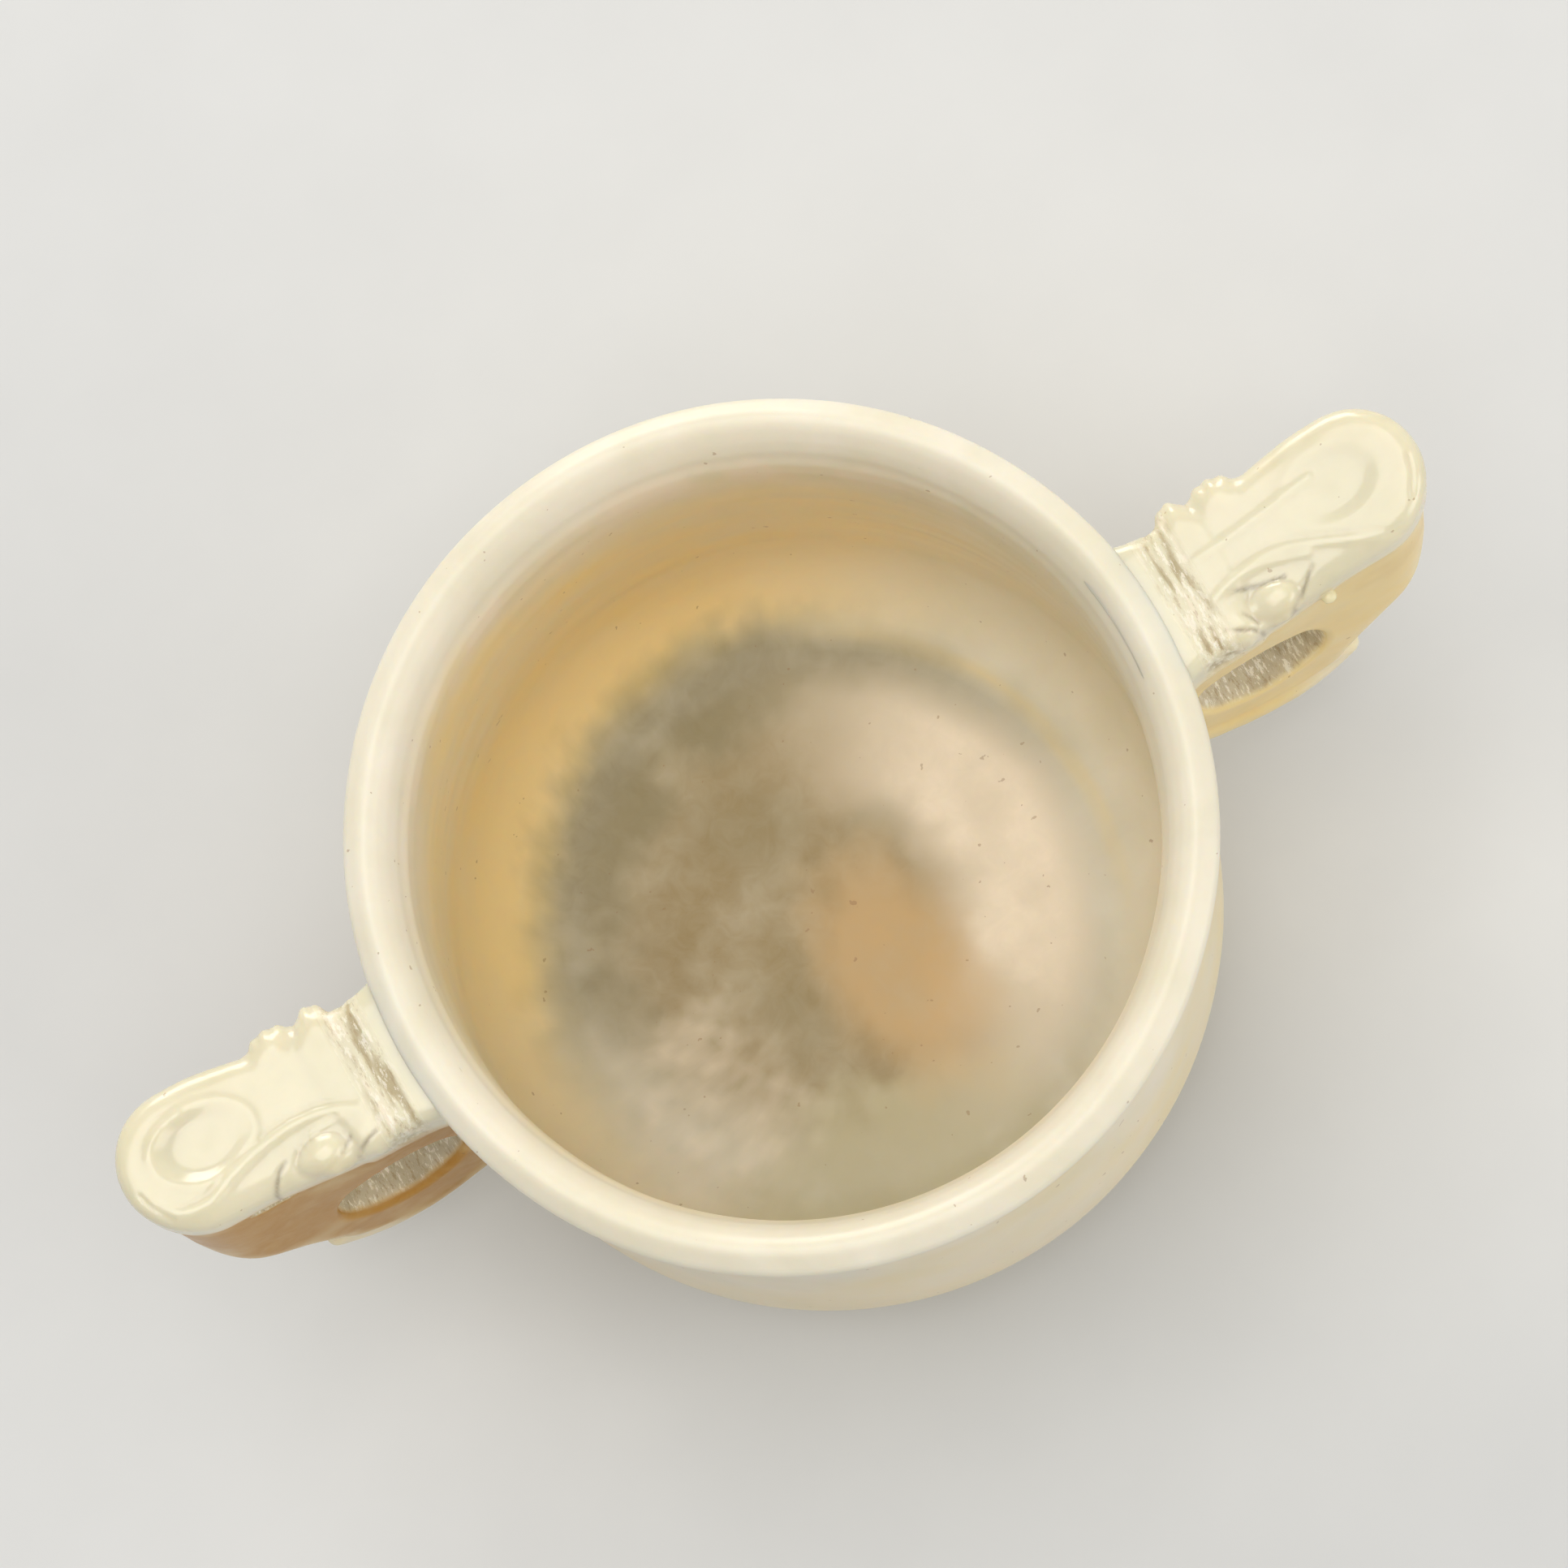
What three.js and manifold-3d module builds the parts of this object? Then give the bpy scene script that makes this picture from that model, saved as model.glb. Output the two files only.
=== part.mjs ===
// Two-handled jade cup: a deep round bowl with a flared lip and a foot ring, and two
// beast-head handles, each a thumb plate over a looped body with a finger hole.
// The real cup is carved from one stone, so its solids are parted along the carved lines.
// Millimetres, +Z up, X through both handles, origin under the centre of the foot.

import * as THREE from 'three';
import { mergeVertices } from 'three/addons/utils/BufferGeometryUtils.js';
import Module from 'manifold-3d';

const wasm = await Module();
wasm.setup();

// Driving dimensions of the bowl
const cupHeight = 55;
const lipRadius = 40;
const depthOverWidth = 1.03;
const wall = 2.8;
const floorThickness = 4.2;
const bellyRadius = 38.6;
const waistRadius = 37.2;
const cornerWidth = 13.5;
const cornerHeight = 15;
const waistDrop = 10;
const lipHeight = 5;
const lipCrestInset = 2.3;
const lipEdgeDrop = 1.8;
const lipUnderside = 1.6;
const throatInset = 4.9;
const footHeight = 5;
const footRadius = 24;
const footRingWidth = 7.5;
const footChamfer = 0.5;

// Driving dimensions of a handle
const handleSpan = 135.6;
const plateLength = 23;
const plateWidth = 13.8;
const plateThickness = 5.2;
const plateDrop = 1.6;
const plateRise = 3.4;
const plateRounding = 1.1;
const plateOverhang = 0.7;
const scoopLength = 12;
const scoopWidth = 8;
const scoopDepth = 1.3;
const scoopFromTip = 8.4;
const neckWidth = 13;
const neckFlare = 14.6;
const neckDrop = 0.9;
const loopWidth = 10.4;
const loopDepth = 31;
const loopRounding = 0.9;
const holeWidth = 13.6;
const holeHeight = 15.2;
const holeInnerStrap = 1.4;
const holeRoof = 8.2;
const spurLength = 3.6;
const spurRise = 5;
const spurPoint = 1;
const jawDepth = 13;
const jawRounding = 4;
const browHeight = 0.7;
const browReach = 9;
const browHollow = 3.4;
const earRadius = 2.4;
const earStandOut = 1.6;

// Clearance between neighbouring solids, and the fineness of round work
const seam = 0.3;
const turns = 56;
const arcSteps = 7;

// Levels and lengths that follow from them
const underside = footHeight + seam;
const innerFloor = underside + floorThickness;
const lipBottom = cupHeight - lipHeight;
const bodyTop = lipBottom - seam;
const cornerTop = underside + cornerHeight;
const waistLevel = bodyTop - waistDrop / 2;
const handleTip = handleSpan / 2;
const plateStart = handleTip - plateLength;
const plateTop = cupHeight - plateDrop;
const plateBottom = plateTop - plateThickness;
const loopTop = plateBottom - seam;

function solidOf(geometry) {
  const plain = geometry.clone();
  plain.deleteAttribute('normal');
  plain.deleteAttribute('uv');
  const merged = mergeVertices(plain, 1e-5);
  const vertProperties = new Float32Array(merged.attributes.position.array);
  const triVerts = new Uint32Array(merged.index.array);
  return new wasm.Manifold(new wasm.Mesh({ numProp: 3, vertProperties, triVerts }));
}

function geometryOf(solid) {
  const mesh = solid.getMesh();
  const geometry = new THREE.BufferGeometry();
  geometry.setAttribute('position', new THREE.BufferAttribute(new Float32Array(mesh.vertProperties), 3));
  geometry.setIndex(new THREE.BufferAttribute(new Uint32Array(mesh.triVerts), 1));
  geometry.computeVertexNormals();
  return geometry;
}

// Turns a profile of [radius, height] round Z and stretches it front to back.
// The profile runs with the material on its left, so the faces point outwards.
function turned(profile) {
  const points = profile.map(([radius, height]) => new THREE.Vector2(radius, height));
  const lathe = new THREE.LatheGeometry(points, turns);
  lathe.rotateX(Math.PI / 2);
  lathe.scale(1, depthOverWidth, 1);
  return lathe;
}

// Quarter ellipse from its low point out to its widest point.
function cornerArc(widest, width, low, height) {
  const points = [];
  for (let step = 0; step <= arcSteps; step += 1) {
    const angle = (step / arcSteps) * Math.PI / 2;
    points.push([widest - width * (1 - Math.sin(angle)), low + height * (1 - Math.cos(angle))]);
  }
  return points;
}

// Radius of the outside above the rounded corner: it eases in from belly to waist,
// and opens again under the lip.
function wallRadius(height) {
  if (height < waistLevel) {
    const share = Math.max(0, (height - cornerTop) / (waistLevel - cornerTop));
    return waistRadius + (bellyRadius - waistRadius) * 0.5 * (1 + Math.cos(Math.PI * share));
  }
  const share = (height - waistLevel) / (bodyTop - waistLevel);
  return waistRadius + (lipRadius - lipUnderside - waistRadius) * share * share;
}

function wallPoints(from, inset) {
  const points = [];
  for (let step = 1; step <= arcSteps; step += 1) {
    const height = from + (bodyTop - from) * step / arcSteps;
    points.push([wallRadius(height) - inset, height]);
  }
  return points;
}

function bowl() {
  const innerHeight = Math.max(wall, cornerTop - innerFloor);
  const innerWidth = cornerWidth - wall;
  const outside = [[0, underside], ...cornerArc(bellyRadius, cornerWidth, underside, cornerHeight)];
  outside.push(...wallPoints(cornerTop, 0));
  const inside = cornerArc(bellyRadius - wall, innerWidth, innerFloor, innerHeight);
  inside.push(...wallPoints(innerFloor + innerHeight, wall));
  return solidOf(turned([...outside, ...inside.reverse(), [0, innerFloor]]));
}

// The flared lip: a crisp throat edge, a bevel up to the crest, and a rounded outer edge
// that turns back under to the wall.
function lip() {
  const crest = lipRadius - lipCrestInset;
  const throat = lipRadius - throatInset;
  const foot = wallRadius(bodyTop);
  const edge = cupHeight - lipEdgeDrop;
  const section = [
    [foot - wall, lipBottom],
    [foot, lipBottom],
    [lipRadius - lipUnderside * 0.35, lipBottom + (edge - lipBottom) * 0.45],
    [lipRadius, edge],
    [lipRadius - lipCrestInset * 0.35, cupHeight - lipEdgeDrop * 0.3],
    [crest, cupHeight],
    [crest - (crest - throat) * 0.55, cupHeight - (cupHeight - lipBottom) * 0.22],
    [throat, lipBottom + (cupHeight - lipBottom) * 0.36],
    [foot - wall, lipBottom],
  ];
  return solidOf(turned(section));
}

function footRing() {
  const inner = footRadius - footRingWidth;
  const section = [
    [inner + footChamfer, 0],
    [footRadius - footChamfer, 0],
    [footRadius, footChamfer],
    [footRadius, footHeight],
    [inner, footHeight],
    [inner, footChamfer],
    [inner + footChamfer, 0],
  ];
  return solidOf(turned(section));
}

// Everything that the bowl and lip take up, grown by the seam and closed over the top,
// so that the handles are cut to meet them.
function cupEnvelope() {
  const outside = [[0, underside], ...cornerArc(bellyRadius + seam, cornerWidth, underside, cornerHeight)];
  outside.push(...wallPoints(cornerTop, -seam));
  outside.push([lipRadius + seam, lipBottom]);
  outside.push([lipRadius + seam, cupHeight + seam]);
  outside.push([0, cupHeight + seam]);
  return solidOf(turned(outside));
}

// The plate and what it carries rise evenly from the neck to the tip.
function raised(geometry) {
  const slope = plateRise / plateLength;
  geometry.applyMatrix4(new THREE.Matrix4().makeShear(0, slope, 0, 0, 0, 0));
  geometry.translate(0, 0, -slope * plateStart);
}

// An outline in plan, raised between two levels with rounded edges.
function slab(shape, bottom, top, rounding, place = () => {}) {
  const geometry = new THREE.ExtrudeGeometry(shape, {
    depth: top - bottom - 2 * rounding,
    bevelEnabled: true,
    bevelThickness: rounding,
    bevelSize: rounding,
    bevelOffset: -rounding,
    bevelSegments: 2,
    curveSegments: arcSteps + 2,
  });
  geometry.translate(0, 0, bottom + rounding);
  place(geometry);
  return solidOf(geometry);
}

// An outline drawn in X and Z, given its width along Y.
function sideSlab(shape, width, rounding) {
  const geometry = new THREE.ExtrudeGeometry(shape, {
    depth: width - 2 * rounding,
    bevelEnabled: true,
    bevelThickness: rounding,
    bevelSize: rounding,
    bevelOffset: -rounding,
    bevelSegments: 2,
    curveSegments: arcSteps + 2,
  });
  geometry.rotateX(Math.PI / 2);
  geometry.translate(0, width / 2 - rounding, 0);
  return solidOf(geometry);
}

function raisedEllipsoid(centre, radii, columns, rows) {
  const geometry = new THREE.SphereGeometry(1, columns, rows);
  geometry.rotateX(Math.PI / 2);
  geometry.scale(...radii);
  geometry.translate(...centre);
  raised(geometry);
  return solidOf(geometry);
}

// Plan of the thumb plate: straight sides and a round outer end.
function plateShape(grow, start = plateStart) {
  const half = plateWidth / 2 + grow;
  const shape = new THREE.Shape();
  shape.moveTo(start - grow, -half);
  shape.lineTo(handleTip - plateWidth / 2, -half);
  shape.absarc(handleTip - plateWidth / 2, 0, half, -Math.PI / 2, Math.PI / 2, false);
  shape.lineTo(start - grow, half);
  shape.closePath();
  return shape;
}

function thumbPlate() {
  const plate = slab(plateShape(0), plateBottom, plateTop, plateRounding, raised);
  const radii = [scoopLength / 2, scoopWidth / 2, scoopDepth * 2];
  const scoop = raisedEllipsoid([handleTip - scoopFromTip, 0, plateTop + scoopDepth], radii, 20, 12);
  return plate.subtract(scoop);
}

// The room that the plate takes up, grown by the seam, that its neighbours are cut back from.
function plateSpace() {
  return slab(plateShape(seam), plateBottom - seam, plateTop + seam, plateRounding / 2, raised);
}

// The neck flares from the plate to the lip, and is cut to the lip's round.
function neck(envelope) {
  const start = lipRadius - wall;
  const end = plateStart - seam;
  const half = neckWidth / 2;
  const spread = neckFlare / 2;
  const shape = new THREE.Shape();
  shape.moveTo(start, -spread);
  shape.quadraticCurveTo((start + end) / 2, -half, end, -half);
  shape.lineTo(end, half);
  shape.quadraticCurveTo((start + end) / 2, half, start, spread);
  shape.closePath();
  return slab(shape, plateBottom, plateTop - neckDrop, plateRounding / 2).subtract(envelope);
}

// Side outline of the looped body: jaw under the plate's end, a slope down to the pointed
// spur, and a lower limb back to the belly, round the finger hole. The hole ends where the jaw
// needs its room.
function loopShape(grow) {
  const bottom = loopTop - loopDepth;
  const outer = handleTip - plateRounding;
  const wallSide = waistRadius - wall;
  const holeStart = bellyRadius + seam + holeInnerStrap;
  const holeEnd = Math.min(holeStart + holeWidth, outer - jawRounding - spurLength - spurPoint);
  const holeRadius = (holeEnd - holeStart) / 2;
  const holeCentreX = holeStart + holeRadius;
  const holeCentreZ = loopTop - holeRoof - holeHeight / 2;
  const spurEnd = holeEnd + spurLength / 2;
  const spurLevel = bottom + spurRise;
  const jawLevel = loopTop - jawDepth;
  const shape = new THREE.Shape();
  shape.moveTo(wallSide, bottom + spurRise * 0.4);
  shape.quadraticCurveTo(holeCentreX, bottom - spurRise * 0.2, holeEnd - spurLength, bottom + spurRise * 0.2);
  shape.quadraticCurveTo(holeEnd, bottom + spurRise * 0.5, spurEnd, spurLevel - spurPoint);
  shape.absarc(spurEnd, spurLevel, spurPoint, -Math.PI / 2, 0, false);
  shape.quadraticCurveTo(holeEnd + spurLength * 2, jawLevel - spurRise * 0.4, outer - jawRounding, jawLevel);
  shape.quadraticCurveTo(outer, jawLevel + jawRounding * 0.3, outer, jawLevel + jawRounding);
  shape.lineTo(outer, loopTop + plateRise * (outer - plateStart) / plateLength);
  shape.lineTo(plateStart, loopTop);
  shape.lineTo(wallSide, loopTop);
  shape.closePath();
  const hole = new THREE.Path();
  hole.absellipse(holeCentreX, holeCentreZ, holeRadius - grow, holeHeight / 2 - grow, 0, 2 * Math.PI);
  shape.holes.push(hole);
  return shape;
}

// The looped body ends as round as the plate above it, set back by the plate's overhang.
function loop(envelope) {
  const roof = plateTop + plateRise;
  const plan = slab(plateShape(-plateOverhang, 0), loopTop - 2 * loopDepth, roof, seam);
  return sideSlab(loopShape(0), loopWidth, loopRounding).intersect(plan).subtract(envelope);
}

// One of the ears on a flank of the plate, cut to stand clear of the plate and the loop.
// flank is -1 in front and 1 behind; place is 0 beside the neck and 1 further out.
function ear(envelope, flank, place) {
  const loopSpace = sideSlab(loopShape(seam), loopWidth + 2 * seam, loopRounding / 2);
  const x = plateStart + earRadius + place * (2 * earRadius + seam);
  const y = flank * (plateWidth / 2 - earRadius + earStandOut);
  const z = plateBottom + earRadius;
  const lobe = raisedEllipsoid([x, y, z], [earRadius, earRadius, earRadius], 14, 8);
  return lobe.subtract(plateSpace()).subtract(loopSpace).subtract(envelope);
}

// A low crescent brow across the plate's inner end.
function brow() {
  const start = plateStart + plateRounding;
  const half = plateWidth / 2 - plateRounding * 2;
  const shape = new THREE.Shape();
  shape.moveTo(start, -half);
  shape.quadraticCurveTo(start + browReach, 0, start, half);
  shape.quadraticCurveTo(start + browHollow, 0, start, -half);
  const bottom = plateTop + seam;
  return slab(shape, bottom, bottom + browHeight, browHeight * 0.3, raised);
}

const finishes = {
  bowl: { color: 0xdcd2a8, roughness: 0.28, metalness: 0 },
  lip: { color: 0xe9e3c8, roughness: 0.22, metalness: 0 },
  foot: { color: 0xd2c596, roughness: 0.34, metalness: 0 },
  plate: { color: 0xe6dec3, roughness: 0.24, metalness: 0 },
  neck: { color: 0xe0d5b4, roughness: 0.42, metalness: 0 },
  loop: { color: 0xc8a564, roughness: 0.3, metalness: 0 },
};

function piece(name, solid, finish) {
  const mesh = new THREE.Mesh(geometryOf(solid), new THREE.MeshStandardMaterial(finish));
  mesh.name = name;
  return mesh;
}

const envelope = cupEnvelope();

function handle(side, turn) {
  const group = new THREE.Group();
  group.add(piece(`${side}_thumb_plate`, thumbPlate(), finishes.plate));
  group.add(piece(`${side}_neck`, neck(envelope), finishes.neck));
  group.add(piece(`${side}_loop`, loop(envelope), finishes.loop));
  for (const [flank, face] of [[-1, 'front'], [1, 'back']]) {
    group.add(piece(`${side}_${face}_inner_ear`, ear(envelope, flank, 0), finishes.loop));
    group.add(piece(`${side}_${face}_outer_ear`, ear(envelope, flank, 1), finishes.loop));
  }
  group.add(piece(`${side}_brow`, brow(), finishes.plate));
  group.rotation.z = turn;
  return group;
}

const cup = new THREE.Group();
cup.add(piece('bowl', bowl(), finishes.bowl));
cup.add(piece('lip', lip(), finishes.lip));
cup.add(piece('foot_ring', footRing(), finishes.foot));
cup.add(handle('right', 0));
cup.add(handle('left', Math.PI));

export default cup;
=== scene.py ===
# %% [markdown]
# # A two-handled jade cup
# The cup is one piece of carved stone: a deep round bowl with a flared lip and a foot ring, and a
# beast-head handle on each side. The frame that is loaded first holds its solids at their real
# size. This lesson puts the finished, polished surfaces over them, in metres, in the same place.

# %% Load the frame
import math
import bpy
import numpy as np
from mathutils import Matrix, Vector


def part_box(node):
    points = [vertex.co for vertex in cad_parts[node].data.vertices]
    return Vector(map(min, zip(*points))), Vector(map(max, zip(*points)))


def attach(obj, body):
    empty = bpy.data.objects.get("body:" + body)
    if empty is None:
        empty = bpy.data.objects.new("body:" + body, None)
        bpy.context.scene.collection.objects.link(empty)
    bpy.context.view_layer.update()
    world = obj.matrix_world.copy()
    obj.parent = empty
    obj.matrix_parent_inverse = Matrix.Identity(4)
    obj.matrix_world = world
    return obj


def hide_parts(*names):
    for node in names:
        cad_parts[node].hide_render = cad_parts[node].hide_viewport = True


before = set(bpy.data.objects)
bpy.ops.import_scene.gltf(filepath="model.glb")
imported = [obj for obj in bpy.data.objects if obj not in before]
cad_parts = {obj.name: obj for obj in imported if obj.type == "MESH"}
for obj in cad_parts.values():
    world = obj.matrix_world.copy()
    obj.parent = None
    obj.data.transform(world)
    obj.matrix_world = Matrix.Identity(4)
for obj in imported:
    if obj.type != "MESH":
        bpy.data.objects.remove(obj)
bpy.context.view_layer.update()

# %% [markdown]
# The surfaces are worked out in millimetres, because a carver thinks in them, and are turned into
# metres only when a mesh is made. Every main size is read from the frame's own solids, and the
# few that a box can't tell, such as the size of the finger hole, are given beside them.

# %% Sizes read from the frame
MM = 0.001


def box_mm(node):
    """Lowest and highest corner of one solid, in millimetres."""
    low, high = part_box(node)
    return np.array(low) / MM, np.array(high) / MM


lip_low, lip_high = box_mm("lip")
bowl_low, bowl_high = box_mm("bowl")
foot_high = box_mm("foot_ring")[1]
plate_low, plate_high = box_mm("right_thumb_plate")
loop_low = box_mm("right_loop")[0]

LIP_RADIUS = lip_high[0]
DEPTH_OVER_WIDTH = lip_high[1] / lip_high[0]
CUP_HEIGHT = lip_high[2]
BELLY = bowl_high[0]
FOOT_RADIUS = foot_high[0]
FOOT_HEIGHT = foot_high[2]
PLATE_START, PLATE_TIP = plate_low[0], plate_high[0]
PLATE_HALF = plate_high[1]
PLATE_DROP, PLATE_THICKNESS, PLATE_RISE = 1.6, 5.2, 3.4
PLATE_TOP = CUP_HEIGHT - PLATE_DROP
PLATE_BOTTOM = PLATE_TOP - PLATE_THICKNESS
PLATE_SLOPE = PLATE_RISE / (PLATE_TIP - PLATE_START)
LOOP_BOTTOM = loop_low[2]
SEAM = 0.3
HOLE_WIDTH, HOLE_HEIGHT = 13.6, 15.2
HOLE_ROOF, INNER_STRAP = 8.2, 1.4
print("lip radius", round(LIP_RADIUS, 2), "height", round(CUP_HEIGHT, 2), "handle tip", round(PLATE_TIP, 2))

# %% [markdown]
# Stone is never even. One small noise function gives every slow change of colour and every slight
# wobble of the carver's hand: random values on a lattice, blended smoothly between its corners,
# and summed over a few scales. It is seeded, so each run gives the same stone.

# %% Clouds
LATTICE = 24
FAR_FROM_ZERO = 100.5


def clouds(points, scale, seed, octaves=3):
    """Smooth noise from about -1 to 1: lattice values blended by 3t^2 - 2t^3, each octave half as strong."""
    lattice = np.random.default_rng(seed).uniform(-1, 1, (LATTICE, LATTICE, LATTICE))
    total, weight, size = 0.0, 1.0, scale
    for _ in range(octaves):
        place = points / size + FAR_FROM_ZERO
        cell = np.floor(place).astype(int)
        part = place - cell
        part = part * part * (3 - 2 * part)
        value = 0.0
        for corner in np.ndindex(2, 2, 2):
            share = np.prod([part[..., a] if corner[a] else 1 - part[..., a] for a in range(3)], axis=0)
            index = tuple((cell[..., a] + corner[a]) % LATTICE for a in range(3))
            value = value + share * lattice[index]
        total = total + weight * value
        weight, size = weight * 0.5, size * 0.5
    return total


def ramp(value, low, high):
    """0 below low, 1 above high, and 3t^2 - 2t^3 between them."""
    t = np.clip((value - low) / (high - low), 0, 1)
    return t * t * (3 - 2 * t)


# %% [markdown]
# A mesh is handed to Blender as whole arrays. The colours of the stone travel with it as named
# layers of numbers from 0 to 1, one for each tint, and the material mixes the tints by them.

# %% From arrays to a mesh


def make_mesh(name, points, faces, tints):
    """A smooth-shaded object from points in mm, faces of four or three indices, and tint layers."""
    mesh = bpy.data.meshes.new(name)
    mesh.from_pydata((points * MM).tolist(), [], faces)
    mesh.shade_smooth()
    for tint, values in tints.items():
        layer = mesh.attributes.new(tint, "FLOAT", "POINT")
        layer.data.foreach_set("value", np.ascontiguousarray(values, dtype=np.float32))
    made = bpy.data.objects.new(name, mesh)
    bpy.context.collection.objects.link(made)
    return made


# %% [markdown]
# ## The bowl
# The bowl, its lip and its foot ring were turned on a lathe with grit and water, so one profile
# carried round the axis gives them all in one skin, with no joint for light to catch in. The
# profile starts under the floor, goes down and round the foot ring, up the outside, over the lip
# and down the inside to the middle of the floor. Its corners are eased a little, as polishing does.

# %% The bowl's profile
WALL, FLOOR_THICKNESS, FOOT_WIDTH = 2.8, 4.2, 7.5
CORNER_OUTSIDE, CORNER_HEIGHT, CORNER_INSIDE = 13.5, 15, (11.2, 10.8)
WALL_TOP = CUP_HEIGHT - (lip_high[2] - lip_low[2])
FOOT_INNER = FOOT_RADIUS - FOOT_WIDTH
UNDERSIDE = bowl_low[2]
FLOOR = UNDERSIDE + FLOOR_THICKNESS
CORNER_TOP = UNDERSIDE + CORNER_HEIGHT
WAIST = BELLY - 1.4


def arc(centre, radii, start, end, count=24):
    """Points on an ellipse from one angle to another, in degrees."""
    t = np.radians(np.linspace(start, end, count))
    return np.stack([centre[0] + radii[0] * np.cos(t), centre[1] + radii[1] * np.sin(t)], -1)


def bowl_profile():
    """Corner points and arcs of the section as [radius, height], from the underside to the floor."""
    level = np.linspace(CORNER_TOP, WALL_TOP - 3.4, 24)
    share = (level - CORNER_TOP) / (level[-1] - CORNER_TOP)
    outside = WAIST + (BELLY - WAIST) * 0.5 * (1 + np.cos(math.pi * share))
    outer_wall = np.stack([outside, level], -1)
    inner_wall = np.stack([outside - WALL + 0.05 * share, level], -1)[::-1]
    edge = LIP_RADIUS
    lip = [[WAIST + 0.2, WALL_TOP - 1.4], [WAIST + 0.9, WALL_TOP - 0.1], [edge - 1.0, CUP_HEIGHT - 3.9],
           [edge - 0.2, CUP_HEIGHT - 2.7], [edge, CUP_HEIGHT - 1.8], [edge - 0.25, CUP_HEIGHT - 1.0],
           [edge - 1.0, CUP_HEIGHT - 0.55], [edge - 1.6, CUP_HEIGHT - 0.15], [edge - 2.3, CUP_HEIGHT],
           [edge - 3.2, CUP_HEIGHT - 0.45], [edge - 4.1, CUP_HEIGHT - 1.5], [edge - 4.75, CUP_HEIGHT - 2.7],
           [edge - 4.95, CUP_HEIGHT - 3.5], [edge - 5.4, CUP_HEIGHT - 4.7], [edge - 5.6, CUP_HEIGHT - 6.6]]
    outer_centre, drop = (BELLY - CORNER_OUTSIDE, CORNER_TOP), CORNER_TOP - UNDERSIDE - 0.3
    corner_out = arc(outer_centre, (CORNER_OUTSIDE, drop), -88, 0)
    inner_centre = (BELLY - WALL - CORNER_INSIDE[0], FLOOR + CORNER_INSIDE[1])
    corner_in = arc(inner_centre, CORNER_INSIDE, 0, -90)
    start = [[0, UNDERSIDE + 0.1], [FOOT_INNER - 1.2, UNDERSIDE]]
    foot = [[FOOT_INNER, UNDERSIDE - 1.2], [FOOT_INNER, 1.0], [FOOT_INNER + 0.7, 0],
            [FOOT_RADIUS - 0.8, 0], [FOOT_RADIUS, 1.0], [FOOT_RADIUS, FOOT_HEIGHT - 0.6]]
    return np.concatenate([start, foot, corner_out, outer_wall, lip, inner_wall, corner_in,
                           [[12, FLOOR - 0.1], [0, FLOOR - 0.2]]])


def even_steps(line, rows, ease):
    """Resamples a line by length with finer steps near the rim, after easing its corners."""
    length = np.r_[0, np.cumsum(np.hypot(*np.diff(line, axis=0).T))]
    fine = np.linspace(0, length[-1], 4000)
    dense = np.stack([np.interp(fine, length, line[:, k]) for k in (0, 1)], -1)
    reach = int(3 * ease / (fine[1]))
    kernel = np.exp(-0.5 * (np.arange(-reach, reach + 1) * fine[1] / ease) ** 2)
    padded = np.pad(dense, ((reach, reach), (0, 0)), mode="reflect", reflect_type="odd")
    soft = np.stack([np.convolve(padded[:, k], kernel / kernel.sum(), "valid") for k in (0, 1)], -1)
    soft[0, 0] = soft[-1, 0] = 0
    need = 1 + 1.6 * ramp(soft[:, 1], WALL_TOP - 4, WALL_TOP) + 0.8 * (1 - ramp(soft[:, 1], 0, 4))
    travel = np.r_[0, np.cumsum(0.5 * (need[1:] + need[:-1]))]
    wanted = np.interp(np.linspace(0, travel[-1], rows), travel, fine)
    return np.stack([np.interp(wanted, fine, soft[:, k]) for k in (0, 1)], -1)


profile = even_steps(bowl_profile(), rows=236, ease=0.22)
print("profile points:", len(profile), "highest", round(profile[:, 1].max(), 3))

# %% [markdown]
# Turning the profile gives a grid of points: one row for each profile point, one column for each
# step round the axis. Hand work shows as a wobble of a tenth of a millimetre, and the inner wall
# keeps the long shallow hollows of the grinding wheel.

# %% Turn the bowl
COLUMNS = 384


def turn_bowl(line):
    """Grid of points r(cos a, depth sin a), z with the wobble pushed along the radius."""
    angle = np.linspace(0, 2 * math.pi, COLUMNS, endpoint=False)
    radius, height = line[1:-1, 0][:, None], line[1:-1, 1][:, None]
    level = np.broadcast_to(height, (len(line) - 2, COLUMNS))
    ring = np.stack([radius * np.cos(angle), radius * np.sin(angle), level], -1)
    wobble = 0.10 * clouds(ring, 22, 3, 2) * ramp(radius, 10, 30) * ramp(height, 5, 12)
    inner = (np.arange(1, len(line) - 1)[:, None] > np.argmax(line[:, 1])) & (height > FLOOR + 6)
    grooves = 0.09 * clouds(ring * [0.25, 0.25, 1.6], 4.0, 5, 2) * inner * ramp(CUP_HEIGHT - 4 - height, 0, 3)
    radius = radius + wobble + grooves
    x, y = radius * np.cos(angle), radius * np.sin(angle) * DEPTH_OVER_WIDTH
    return np.stack([x, y, np.broadcast_to(height, x.shape)], -1)


def grid_faces(rows, columns, first=0):
    """Quads between neighbouring rows of a grid whose columns close on themselves."""
    index = first + np.arange(rows * columns).reshape(rows, columns)
    beside = np.roll(index, -1, axis=1)
    return np.stack([index[:-1], beside[:-1], beside[1:], index[1:]], -1).reshape(-1, 4).tolist()


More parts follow.
